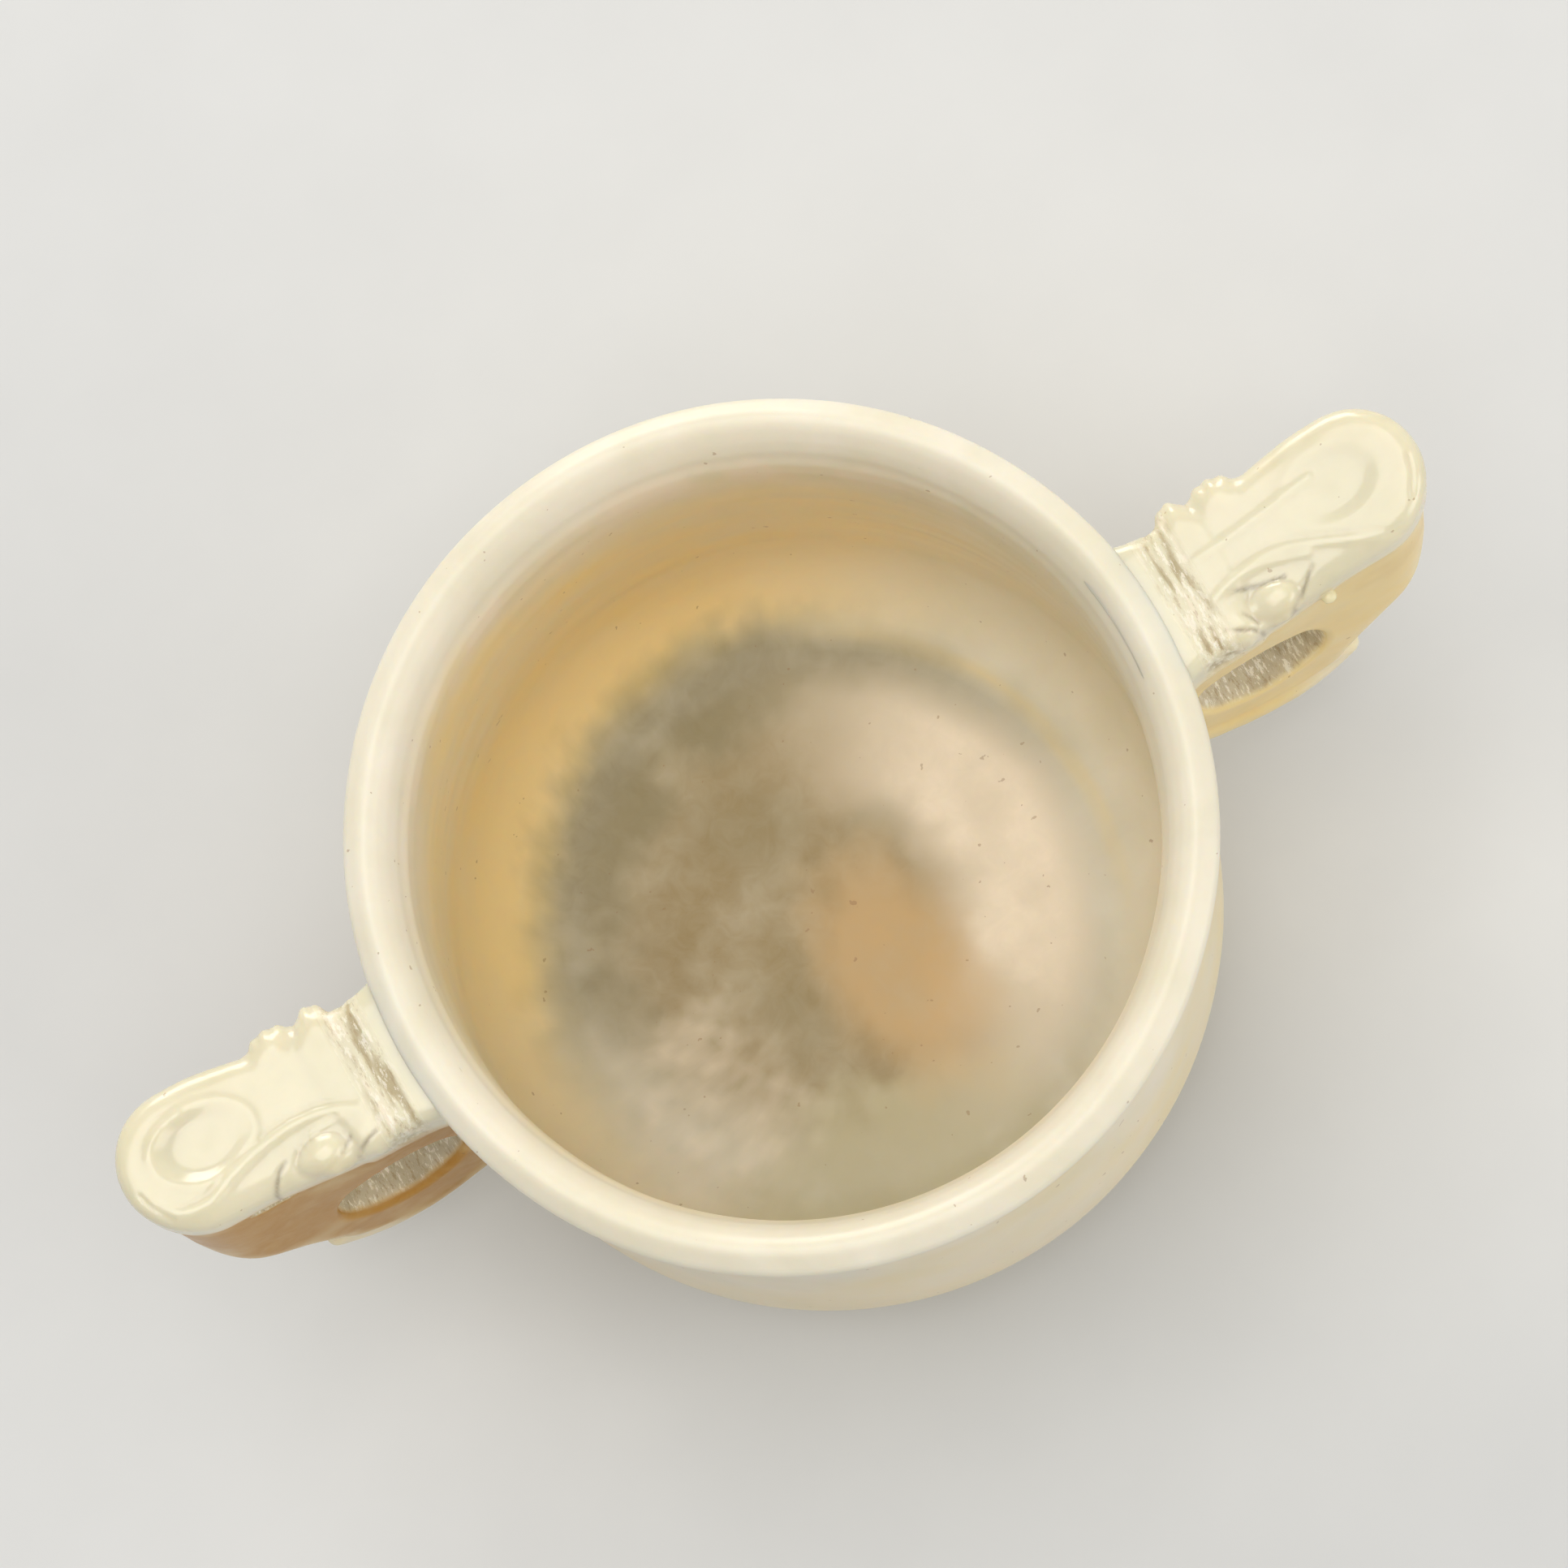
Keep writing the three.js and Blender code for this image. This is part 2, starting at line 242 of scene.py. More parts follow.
rings = turn_bowl(profile)
row_count = len(rings)
bowl_points = np.concatenate([rings.reshape(-1, 3), [[0, 0, profile[0, 1]], [0, 0, profile[-1, 1]]]])
here = np.arange(COLUMNS)
after = np.roll(here, -1)
last = (row_count - 1) * COLUMNS
pole = row_count * COLUMNS
bowl_faces = grid_faces(row_count, COLUMNS)
bowl_faces += np.stack([np.full(COLUMNS, pole), after, here], -1).tolist()
bowl_faces += np.stack([np.full(COLUMNS, pole + 1), last + here, last + after], -1).tolist()
print("bowl faces:", len(bowl_faces))

# %% [markdown]
# The stone's colours mostly follow its own make-up, not the shape, with some painted glow among them:
# a honey veil round the foot of the inner wall, kept light so that on the far wall it also paints
# the glow of light shining through from behind, a blue-grey translucent ring where wall meets floor,
# a milky patch over the right of the floor, a painted glow where the foot ring shines through, a
# peach spot near the middle, and pale clouds under the rim. Each tint is a soft mask over azimuth,
# radius and height, torn by noise.

# %% Tints of the bowl


def around(azimuth, centre, half_width):
    """1 at an azimuth in degrees, easing to 0 at half_width either side of it."""
    off = np.abs((azimuth - centre + 180) % 360 - 180)
    return 1 - ramp(off, 0.2 * half_width, half_width)


def band(value, start, full, fade, end):
    """0 before start, 1 from full to fade, 0 again after end."""
    return ramp(value, start, full) * (1 - ramp(value, fade, end))


def spot(x, y, centre, size, tear):
    """Soft patch: 1 inside an ellipse of the given half sizes, with its edge moved by a tear."""
    return 1 - ramp(np.hypot((x - centre[0]) / size[0], (y - centre[1]) / size[1]) + tear, 0.5, 1.35)


def inner_tints(points, reach):
    """Masks over azimuth and reach, the length along the skin from the middle of the floor."""
    x, y, z = points.T
    azimuth = np.degrees(np.arctan2(y, x)) % 360
    drift, mottle = clouds(points, 11, 11), clouds(points, 4.2, 12, 4)
    fine, streaks = clouds(points, 1.7, 14), clouds(points * [0.45, 0.45, 1.4], 3.6, 13)
    torn = reach + 1.5 * drift + 1.4 * mottle
    right = around(azimuth, 5, 62)
    honey_and_glow = band(torn, 25, 32, 35, 50) * around(azimuth, 120, 95) * (0.90 + 0.15 * streaks)
    # The veil on the far wall is the stone's honey, kept light so that it also paints the glow of light
    # shining through the thin wall from behind.
    veil = band(reach + 3 * drift, 38, 48, 60, 72) * around(azimuth, 98, 105)
    honey_and_glow += 0.50 * veil * (0.9 + 0.4 * streaks + 0.3 * drift)
    honey_and_glow += 0.30 * spot(azimuth, reach, (124, 66), (14, 7), 0.3 * mottle)
    honey_and_glow += 0.22 * ramp(reach, 26, 34) * (1 - 0.5 * right)
    honey_and_glow += 0.50 * np.exp(-((reach - 28.6 - 0.8 * drift) / 0.8) ** 2) * around(azimuth, 20, 62)
    honey_and_glow += 0.20 * band(reach, 46, 55, 76, 79) * around(azimuth, 200, 50)
    ring = band(reach + 1.2 * drift + 2.0 * mottle + 0.8 * fine, 18, 24, 26, 34)
    slate = ring * (around(azimuth, 115, 95) * (0.80 + 0.45 * mottle) + 0.10)
    slate += 0.55 * band(reach + drift, 21, 25, 27, 31) * around(azimuth, 45, 60)
    slate += 0.45 * spot(x, y, (10.0, 6.8), (4.5, 3.0), 0.3 * mottle)
    slate += 0.35 * spot(x, y, (-3, 13), (7, 5), 0.4 * mottle)
    slate += 0.35 * spot(x, y, (-7, -6), (6, 7), 0.4 * mottle) * (0.8 + 0.5 * fine)
    tan = (1 - ramp(torn, 18, 30)) * (0.92 + 0.16 * mottle)
    # Painted glow: the foot ring shining through the floor, painted as a milky ring on the right of the
    # floor.
    foot_ring_glow = band(reach + drift + 0.8 * mottle, 8, 16, 22, 28)
    milk_and_glow = foot_ring_glow * around(azimuth, -4, 100) * (0.95 + 0.15 * mottle)
    milk_and_glow += 0.45 * spot(x, y, (-19, -9), (8, 11), 0.4 * mottle) * (0.6 + 0.5 * fine)
    torn_edge = ramp(mottle + 0.5 * drift + 0.3 * fine, -0.5, 0.5)
    milk_and_glow += 0.75 * ramp(reach, 64, 72) * around(azimuth, 100, 100) * torn_edge
    peach = spot(x, y, (3.4, -6.8), (7.5, 12.5), 0.2 * mottle) * (0.9 + 0.2 * mottle)
    sage = 0.45 * ramp(reach, 30, 40) * right * (0.8 + 0.4 * streaks)
    sage += 0.75 * spot(x, y, (-6, -24), (17, 9), 0.35 * mottle)
    return {"tan": tan, "sage": sage, "honey_and_glow": honey_and_glow, "slate": slate, "milk_and_glow": milk_and_glow, "peach": peach}


def outer_tints(points):
    """Masks of the outside: a thin honey skin that thickens towards the foot, in long clouds."""
    drift, streaks = clouds(points, 14, 31), clouds(points * [0.5, 0.5, 1.5], 5, 32)
    low = 1 - ramp(points[:, 2], 8, 46)
    honey_and_glow = 0.16 + 0.36 * low + 0.16 * drift + 0.12 * streaks
    sage = 0.35 * ramp(drift + 0.5 * streaks, -0.1, 0.7)
    none = 0 * honey_and_glow
    return {"tan": 0.25 * low, "sage": sage, "honey_and_glow": honey_and_glow, "slate": none, "milk_and_glow": none, "peach": none}


def bowl_tints(points, reach, inside):
    """Inner and outer masks joined; the lip is left pale."""
    pale_lip = 1 - 0.85 * ramp(points[:, 2], CUP_HEIGHT - 5.5, CUP_HEIGHT - 2.5)
    inner, outer = inner_tints(points, reach), outer_tints(points)
    masks = {name: np.clip(np.where(inside, inner[name], outer[name]) * pale_lip, 0, 1) for name in inner}
    return masks | {name: np.zeros(len(points)) for name in ("amber_and_shade", "raw", "crack", "dull")}


run = np.r_[0, np.cumsum(np.hypot(*np.diff(profile, axis=0).T))]
rows_inside = np.arange(len(profile)) > np.argmax(profile[:, 1])
row_of = np.r_[np.repeat(np.arange(1, len(profile) - 1), COLUMNS), 0, len(profile) - 1]
tints = bowl_tints(bowl_points, (run[-1] - run)[row_of], rows_inside[row_of])
bowl_piece = make_mesh("jade_bowl", bowl_points, bowl_faces, tints)
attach(bowl_piece, "root")
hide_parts("bowl", "lip", "foot_ring")

# %% [markdown]
# ## The handles
# A handle is carved in the round: plate, brow, eye, ears, neck, spur and finger hole flow into
# each other, so no single grid of two parameters can follow it. It is described instead as a
# field of distances: each point of space gets its distance to the stone, negative inside. Fields
# join and cut by taking the smaller or larger value, and a soft minimum leaves the small fillets
# of polished stone. The skin of the handle is where the field crosses zero.

# %% Fields of distance


def soft_min(a, b, ease):
    """Smaller of two fields with a fillet: min minus ease/4 times (1 - |a-b|/ease)^2 where they are near."""
    near = np.clip(1 - np.abs(a - b) / ease, 0, 1)
    return np.minimum(a, b) - 0.25 * ease * near * near


def soft_max(a, b, ease):
    """Larger of two fields, with the edge rounded."""
    return -soft_min(-a, -b, ease)


def segment(x, z, start, end):
    """Distance in a plane to a straight line between two points."""
    run = (end[0] - start[0], end[1] - start[1])
    t = np.clip(((x - start[0]) * run[0] + (z - start[1]) * run[1]) / (run[0] ** 2 + run[1] ** 2), 0, 1)
    return np.hypot(x - start[0] - t * run[0], z - start[1] - t * run[1])


def line_field(x, y, points):
    """Distance in a plane to a line through several points."""
    return np.min([segment(x, y, a, b) for a, b in zip(points, points[1:])], axis=0)


def bump(x, y, z, centre, radii):
    """Rough distance to an ellipsoid."""
    reach = np.sqrt(((x - centre[0]) / radii[0]) ** 2 + ((y - centre[1]) / radii[1]) ** 2
                    + ((z - centre[2]) / radii[2]) ** 2)
    return (reach - 1) * min(radii)


def outline(x, z, corners):
    """Signed distance to a closed outline in a plane, negative inside, by even-odd crossings."""
    distance = np.full(np.broadcast(x, z).shape, 1e9)
    inside = np.zeros(distance.shape, bool)
    for (ax, az), (bx, bz) in zip(corners, corners[1:] + corners[:1]):
        distance = np.minimum(distance, segment(x, z, (ax, az), (bx, bz)))
        crosses = (az > z) != (bz > z)
        if bz != az:
            inside ^= crosses & (x < (bx - ax) * (z - az) / (bz - az) + ax)
    return np.where(inside, -distance, distance)


def bezier(start, *controls, steps=7):
    """Points on quadratic curves: each pair of controls gives a bend and an end."""
    points, at = [start], start
    for bend, end in zip(controls[::2], controls[1::2]):
        for t in np.linspace(0, 1, steps + 1)[1:]:
            share = (1 - t) ** 2, 2 * t * (1 - t), t * t
            points.append(tuple(share[0] * at[k] + share[1] * bend[k] + share[2] * end[k] for k in (0, 1)))
        at = end
    return points


# %% [markdown]
# Places on a handle are given for the right one, from its own landmarks: how far out along X, how
# far to the side along Y (the front is negative), and the height. The left handle is the same
# field read at -X, with its own touches: it has a drilled nostril where the right has a small pip.
# Its lower limb hangs a little deeper too. Lines on a plate are given as steps out from its inner
# end and to the side. Each has one version for the right handle (False) and one for the left (True).

# %% The handle's lines and outlines
TIP_CENTRE = PLATE_TIP - PLATE_HALF
HOLE_END = BELLY + SEAM + INNER_STRAP + HOLE_WIDTH
HOLE_CENTRE = (HOLE_END - HOLE_WIDTH / 2, PLATE_BOTTOM - SEAM - HOLE_ROOF - HOLE_HEIGHT / 2)
JAW_LEVEL = PLATE_BOTTOM - SEAM - 14.9
LIMB_LOW = LOOP_BOTTOM - 2.4
LEFT_HANGS = 0.8
LEFT_JAW_HANGS = 1.0
EYE_TURN = 0.2
INSIDE_WALL = 35.9
BROW = {
    False: bezier((-0.6, -1.7), (4.6, 0.9), (9.2, -1.2), (13.0, -3.0), (17.5, -5.6)),
    True: bezier((0.7, -1.9), (4.5, 0.3), (9.5, -0.8), (13.5, -1.9), (16.2, -3.2),
                 (19.6, -3.6), (20.9, -1.2)),
}
FOLDS = {
    False: [(bezier((0.0, -2.2), (4.2, -0.6), (9.4, -3.0)), 0.22),
            (bezier((0.4, 1.9), (6.0, 2.2), (13.0, 3.0)), 0.18)],
    True: [(bezier((0.6, -3.3), (2.6, -2.4), (5.6, -2.7)), 0.20),
           (bezier((15.2, 4.6), (18.6, 4.2), (19.3, 2.2)), 0.16)],
}
EYE = {False: (4.6, -4.9), True: (5.8, -4.7)}
CRACKS = {
    False: [[(1.5, -2.3), (4.4, -3.1), (6.6, -3.6)], [(9.2, -4.1), (7.0, -5.8), (5.4, -6.9)],
            [(2.9, -6.9), (-0.8, -5.2)], [(1.6, -4.6), (2.4, -5.9)]],
    True: [[(11.2, -5.9), (9.8, -4.4), (8.8, -3.8)], [(3.8, -5.6), (2.6, -4.7)], [(2.9, -6.3), (0.0, -5.4)]],
}
CURL = [(20.0, -3.6), (21.2, -1.6), (21.6, -0.2)]
LOBES = ((0.7, 6.2, 1.75), (4.9, 6.1, 2.7))


def body_outline(left):
    """Side view of the looped body: lower limb, spur's root, jaw and top, from the bowl out and back."""
    low, jaw = LIMB_LOW - LEFT_HANGS * left, JAW_LEVEL - LEFT_JAW_HANGS * left
    end, top = HOLE_END, PLATE_BOTTOM + 2
    swept = bezier((WAIST - 3, low + 8.5), (end - 11.5, low + 1.6), (end - 6.5, low + 0.6),
                   (end - 2.0, low + 0.2), (end + 1.6, low + 4.4),
                   (end + 2.4, low + 5.6), (end + 2.8, low + 7.4),
                   (end + 5.8, jaw - 4.6), (PLATE_TIP - 4.4, jaw - 1.0),
                   (PLATE_TIP - 1.3, jaw + 2.4), (PLATE_TIP - 0.5, jaw + 8.0),
                   (PLATE_TIP - 0.2, PLATE_BOTTOM), (PLATE_TIP - 0.4, top + 3))
    return swept + [(PLATE_START, top), (WAIST - 3, top)]


def hole_field(x, z):
    """The finger hole: an ellipse whose outer end hangs lower than the end at the bowl."""
    u, v = x - HOLE_CENTRE[0], z - HOLE_CENTRE[1]
    return (np.sqrt((u / 6.9) ** 2 + ((v + 0.16 * u) / (HOLE_HEIGHT / 2)) ** 2) - 1) * 6.6


def relief(distance, depth, width):
    """A ridge of a given height and half width; a negative height cuts a groove."""
    return depth * np.exp(-(distance / width) ** 2)


# %% [markdown]
# The plate rises from the neck to its tip, so its carving is laid out on a level plate first and
# then lifted. Behind the brow it is a smooth thumb rest with a shallow scoop. In front of the brow
# it falls away to the eye and the cheek.

# %% The handle's field


def plate_top(x, y, left):
    """Height of the thumb plate before it is lifted: brow, folds and scoop over a shallow hollow."""
    out = x - PLATE_START
    brow = np.interp(out, [p[0] for p in BROW[left]], [p[1] for p in BROW[left]])
    ahead = brow - y
    end = BROW[left][-1][0]
    along = ramp(out, -0.8, 1.5) * (1 - ramp(out, end - 3.5, end + 0.6))
    top = PLATE_TOP - 0.30 * np.sin(np.clip(out / (PLATE_TIP - PLATE_START), 0, 1) * math.pi)
    front = ramp(ahead, -0.2, 1.6) * along
    top = top - front * (0.25 + 0.15 * np.clip(ahead - 1.0, 0, 9))
    height = 0.22 if left else 0.15
    top = top - relief(ahead, 0.75 * height, 0.30) * along + relief(ahead - 0.85, height, 0.50) * along
    for line, rise in FOLDS[left]:
        top = top + relief(line_field(out, y, line), rise, 0.45)
    scoop = np.hypot((x - (PLATE_TIP - 8.6)) / 4.7, (y - 1.3) / 3.5)
    depth = 0.60 if left else 0.22
    top = top - depth * (1 - ramp(scoop, 0.62, 1.0)) * ramp(out, 8.5, 16)
    return top + relief(scoop - 1.06, 0.2 * depth, 0.12)


def handle_parts(x, y, z, left):
    """The handle's distance field, and the masks that its tints need."""
    side, out = np.abs(y), x - PLATE_START
    level = z - PLATE_SLOPE * 0.5 * (out + np.sqrt(out * out + 3))
    shift = (1.05 if left else 0.75) * ramp(out, 3, 14)
    half = PLATE_HALF - 0.35 * (1 - ramp(out, 6, 15))
    plan = np.hypot(x - np.clip(x, 30, TIP_CENTRE), y - shift) - half
    top = plate_top(x, y, left)
    plate = soft_max(plan, level - top, 2.3)
    plate = soft_max(plate, PLATE_BOTTOM - 0.2 - level, 0.8)
    # The body under it, with the same round end set back, and flanks that thin towards the limb.
    beside_hole = 1 - ramp(x, HOLE_END - 2, HOLE_END + 5)
    set_back, thinner = (0.5, 0.5) if left else (0.75, 0.9)
    swell = PLATE_HALF - set_back - thinner * beside_hole * ramp(PLATE_BOTTOM - z, 3, 12)
    swell = swell - 0.5 * ramp(PLATE_BOTTOM - z, 18, 30)
    outline_gap = outline(x, z, body_outline(left))
    body = soft_max(outline_gap, side - swell, 1.8)
    body = soft_max(body, plan + 0.4, 1.6)
    hole = hole_field(x, z)
    body = soft_max(body, -hole, 0.9)
    # Tail spur: a flat strap along the underside that ends in a rounded tongue.
    low = LIMB_LOW - LEFT_HANGS * left
    strap_line = bezier((BELLY + 0.5, low + 6.4), (HOLE_END - 9.0, low + 1.8), (HOLE_END - 3.6, low + 1.8),
                        (HOLE_END + 0.6, low + 2.0), (HOLE_END + 2.4, low + 4.4), steps=4)
    strap = line_field(x, z, strap_line) - 1.7
    spur = soft_max(strap, side - (5.2 - 0.4 * ramp(x, HOLE_END - 4, HOLE_END + 3)), 1.4)
    stone = soft_min(plate, body, 0.35)
    stone = soft_min(stone, spur, 0.3)
    # Lobes of the ears and mane: they stand out of the back flank and are only low in front.
    lobes = 1e9
    for place, reach, size in LOBES:
        centre = (PLATE_START + place, reach - 1.4 * (y < 0), PLATE_TOP - 2.0)
        lobes = np.minimum(lobes, bump(x, side, level, centre, (size, 2.2, 2.0)))
    lobes = lobes + 0.09 * np.sin(out * 4.6) * ramp(side, 6.4, 7.4)
    stone = soft_min(stone, lobes, 0.6)
    # Neck between plate and lip, as wide as the plate and flared at the lip.
    gap = np.hypot(x, y / DEPTH_OVER_WIDTH) - LIP_RADIUS
    neck_half = PLATE_HALF - 0.55 + 0.9 * np.exp(-np.clip(gap, 0, 9) / 1.4)
    neck_level = (PLATE_TOP + PLATE_BOTTOM) / 2
    neck = soft_max(side - neck_half, np.abs(z - neck_level + 0.55) - 3.0, 1.6)
    neck = soft_max(neck, out - 2, 0.6)
    stone = soft_min(stone, neck, 1.4)
    # Eye in its socket on the front slope, with fine lashes behind it.
    near_top = np.exp(-((level - top) / 1.5) ** 2)
    u = (out - EYE[left][0]) * math.cos(EYE_TURN) - (y - EYE[left][1]) * math.sin(EYE_TURN)
    v = (out - EYE[left][0]) * math.sin(EYE_TURN) + (y - EYE[left][1]) * math.cos(EYE_TURN)
    stone = stone + relief(np.hypot(u / 2.5, v / 1.6) - 1, 0.16, 0.15) * near_top
    lashes = 0.06 * np.sin(u * 8 + v * 2) * relief(v - 1.5, 1, 0.6) * relief(u - 0.8, 1, 1.3)
    stone = stone + lashes * near_top
    stone = soft_min(stone, bump(out, y, level, (*EYE[left], PLATE_TOP - 1.75), (2.3, 1.35, 1.35)), 0.2)
    for line in CRACKS[left]:
        stone = stone + relief(line_field(out, y, line), 0.12, 0.22) * near_top
    # Curl at the outer end, and the undercut line between plate and body.
    stone = stone + relief(line_field(out, y, CURL), 0.14, 0.26) * near_top
    seam_line = relief(level - PLATE_BOTTOM + 0.1, 0.40, 0.42) * ramp(out, 8, 12)
    stone = stone + seam_line * relief(plan + 0.3, 1, 1.2)
    if left:
        recess = bump(x, side, z, (PLATE_START + 12.2, 5.9, PLATE_BOTTOM + 0.3), (2.1, 1.5, 0.9))
        stone = soft_max(stone, -recess, 0.3)
    else:
        recess = 9 + 0 * stone
        pip = bump(x, side, z, (PLATE_START + 9.4, 6.5, PLATE_BOTTOM + 2.1), (0.75, 0.7, 0.5))
        stone = soft_min(stone, pip, 0.15)
    return stone, {"hole": hole, "level": level, "recess": recess, "edge": -outline_gap, "strap": strap}


def neck_band(x, z):
    """1 on the rough chiselled band between the lip and the plate."""
    across = band(x, LIP_RADIUS + 0.6, LIP_RADIUS + 1.6, PLATE_START - 1.0, PLATE_START + 0.4)
    return across * ramp(z, PLATE_BOTTOM, PLATE_BOTTOM + 2)


def chisel(points, left):
    """Rough tool marks that run across the neck."""
    return clouds(points * [1.0, 0.16, 0.5], 0.55, 40 if left else 50, 2)


def handle_field(x, y, z, left):
    """The field with the roughness of unpolished places added, closed off inside the bowl's wall."""
    stone, parts = handle_parts(x, y, z, left)
    place = np.stack(np.broadcast_arrays(x, y, z), -1)
    stone = stone + neck_band(x, z) * (0.08 + 0.14 * chisel(place, left))
    in_hole = (1 - ramp(parts["hole"], 0.1, 0.5)) * (1 - ramp(np.abs(y), 4.4, 5.0))
    stone = stone + in_hole * 0.13 * clouds(place, 1.1, 45, 2)
    stone = stone + 0.05 * clouds(place, 5.0, 46, 2)
    return soft_max(stone, INSIDE_WALL - np.hypot(x, y / DEPTH_OVER_WIDTH), 0.3)


# %% [markdown]
# The skin is found with surface nets: the space is cut into small cells, every cell that the skin
# passes through gets one point at the mean of its edge crossings, and each crossed edge joins the
# four cells round it with a quad. All of it is array work, with no loop over points.

# %% Surface nets


def surface_nets(field, origin, step):
    """Points and quads of the zero surface of a field on a cubic grid, facing the positive side."""
    sign = field < 0
    nx, ny, nz = field.shape
    count = np.zeros((nx - 1, ny - 1, nz - 1), np.int8)
    for i, j, k in np.ndindex(2, 2, 2):
        count += sign[i:nx - 1 + i, j:ny - 1 + j, k:nz - 1 + k]
    cells = np.argwhere((count > 0) & (count < 8))
    number = np.full(count.shape, -1)
    number[tuple(cells.T)] = np.arange(len(cells))
    total, hits = np.zeros((len(cells), 3)), np.zeros(len(cells))
    for axis in range(3):
        others = [a for a in range(3) if a != axis]
        for da, db in np.ndindex(2, 2):
            low = cells.copy()
            low[:, others[0]] += da
            low[:, others[1]] += db
            high = low.copy()
            high[:, axis] += 1
            a, b = field[tuple(low.T)], field[tuple(high.T)]
            cross = (a < 0) != (b < 0)
            at = low.astype(float)
            at[cross, axis] += (a / np.where(cross, a - b, 1))[cross]
            total += at * cross[:, None]
            hits += cross
    points = origin + step * total / hits[:, None]
    quads = []
    for axis in range(3):
        u, v = (axis + 1) % 3, (axis + 2) % 3
        low = [slice(1, -1)] * 3
        low[axis] = slice(0, -1)
        high = list(low)
        high[axis] = slice(1, None)
        flips = np.argwhere(sign[tuple(low)] != sign[tuple(high)]) + 1
        flips[:, axis] -= 1
        ring = []
        for du, dv in ((0, 0), (-1, 0), (-1, -1), (0, -1)):
            cell = flips.copy()
            cell[:, u] += du
            cell[:, v] += dv
            ring.append(number[tuple(cell.T)])
        ring = np.stack(ring, -1)
        leaving = sign[tuple(flips.T)]
        quads.append(np.where(leaving[:, None], ring, ring[:, ::-1]))
    return points, np.concatenate(quads)


STEP = 0.24
HALF_SPACE = 9.6


def carve_handle(left):
    """Points and quads of one handle; the left one is the right one's field read at -X."""
    low = np.array([INSIDE_WALL - 0.7, -HALF_SPACE, LIMB_LOW - 1.7])
    high = np.array([PLATE_TIP + 0.8, HALF_SPACE, plate_high[2] + 0.9])
    axes = [np.arange(low[k], high[k], STEP) for k in range(3)]
    grid = np.meshgrid(*axes, indexing="ij")
    return surface_nets(handle_field(*grid, left), low, STEP)


# %% [markdown]
# A handle's tints: the plate is pale and cool, and the flanks and the underside carry painted light:
# honey, partly the stone's own and partly a painted glow where the stone is thick and lit from behind,
# and amber, partly the stone's own and partly painted shade under the plate, far heavier on the left
# flank, which lies away from the light. The finger hole is left rough and greyish, and a few old
# cracks near the eye hold brown dirt. The flanks are seen at a flat angle and would mirror the floor,
# so they also carry a dullness that takes their polish back.

# %% Tints and pieces of the handles


def handle_tints(points, left):
    """Masks from 0 to 1 for each tint of a handle, from the same landmarks as its field."""
    x, y, z = points.T
    side, out = np.abs(y), x - PLATE_START
    parts = handle_parts(x, y, z, left)[1]
    noise, fine = clouds(points, 6, 61), clouds(points, 1.8, 62)
    under = ramp(PLATE_BOTTOM + 1.6 - parts["level"], -0.6, 2.6)
    rim = np.exp(-(np.clip(parts["edge"], 0, 9) / 1.8) ** 2) * ramp(PLATE_BOTTOM - z, 2, 8)
    strap = (1 - ramp(parts["strap"], -0.2, 0.3)) * ramp(x, HOLE_END - 5, HOLE_END)
    # Painted light under the plate: this mask gives both the painted glow (honey) and the painted shade
    # (amber), eased near the outline and on the spur's strap.
    flank_glow_and_shade = under * (1 - 0.55 * rim) * (1 - 0.75 * strap) * (0.85 + 0.25 * noise)
    # Painted shade: the left flank lies away from the light, so it gets about four times the amber of the
    # right.
    amber_and_shade = flank_glow_and_shade * (1.2 if left else 0.28) * ramp(side, 1.0, 3.0)
    honey_and_glow = 0.10 + 0.75 * flank_glow_and_shade + 0.25 * under
    in_hole = (1 - ramp(parts["hole"], 0.2, 0.6)) * (z < PLATE_BOTTOM) * (1 - ramp(side, 4.2, 5.0))
    in_hole = np.maximum(in_hole, 1 - ramp(parts["recess"], 0.0, 0.25))
    near = np.min([line_field(out, y, line) for line in CRACKS[left]], axis=0)
    crack = 0.55 * relief(near + 0.06 * fine, 1, 0.20) * (parts["level"] > PLATE_BOTTOM - 0.5)
    crack = crack * ramp(fine, -0.8, 0.3)
    neck = neck_band(x, z)
    marks = chisel(points, left)
    masks = {
        "honey_and_glow": honey_and_glow * (1 - in_hole),
        "amber_and_shade": amber_and_shade * (1 - in_hole),
        "slate": in_hole * (0.25 + 0.35 * fine),
        "dull": under,
        "milk_and_glow": 0.7 * neck * ramp(-marks, 0.3, 0.9) + 0.35 * strap + 0.3 * in_hole,
        "tan": 0.8 * neck * ramp(marks, 0.0, 0.8) + 0.45 * in_hole,
        "peach": 0.10 * ramp(noise, 0.3, 0.9),
        "sage": 0.30 * (1 - under) * ramp(noise, -0.2, 0.8),
        "raw": np.maximum(in_hole, 0.8 * neck),
        "crack": crack,
    }
    return {name: np.clip(mask, 0, 1) for name, mask in masks.items()}


handles = []
for side_name, left in (("right", False), ("left", True)):
    points, quads = carve_handle(left)
    tints = handle_tints(points, left)
    if left:
        points, quads = points * [-1, 1, 1], quads[:, ::-1]
    piece = make_mesh(f"{side_name}_handle", points, quads.tolist(), tints)
    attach(piece, "root")
    carved = [f"{side_name}_{part}" for part in ("thumb_plate", "neck", "loop", "brow")]
    ears = [f"{side_name}_{face}_{place}_ear" for face in ("front", "back") for place in ("inner", "outer")]
    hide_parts(*carved, *ears)
    handles.append(piece)
    print(piece.name, "quads:", len(quads))

# %% [markdown]
# ## The stone
# Jade lets light in a few millimetres and scatters it back, so its shadows are soft and its thin
# edges glow. The Principled shader's subsurface part does that, with red light reaching furthest.
# The tints are mixed in a node group that both materials share, and it only puts out a colour and
# three values: roughness, the share of shine that is left, and height. The polish itself stays in
# the materials.

# %% Helpers for nodes


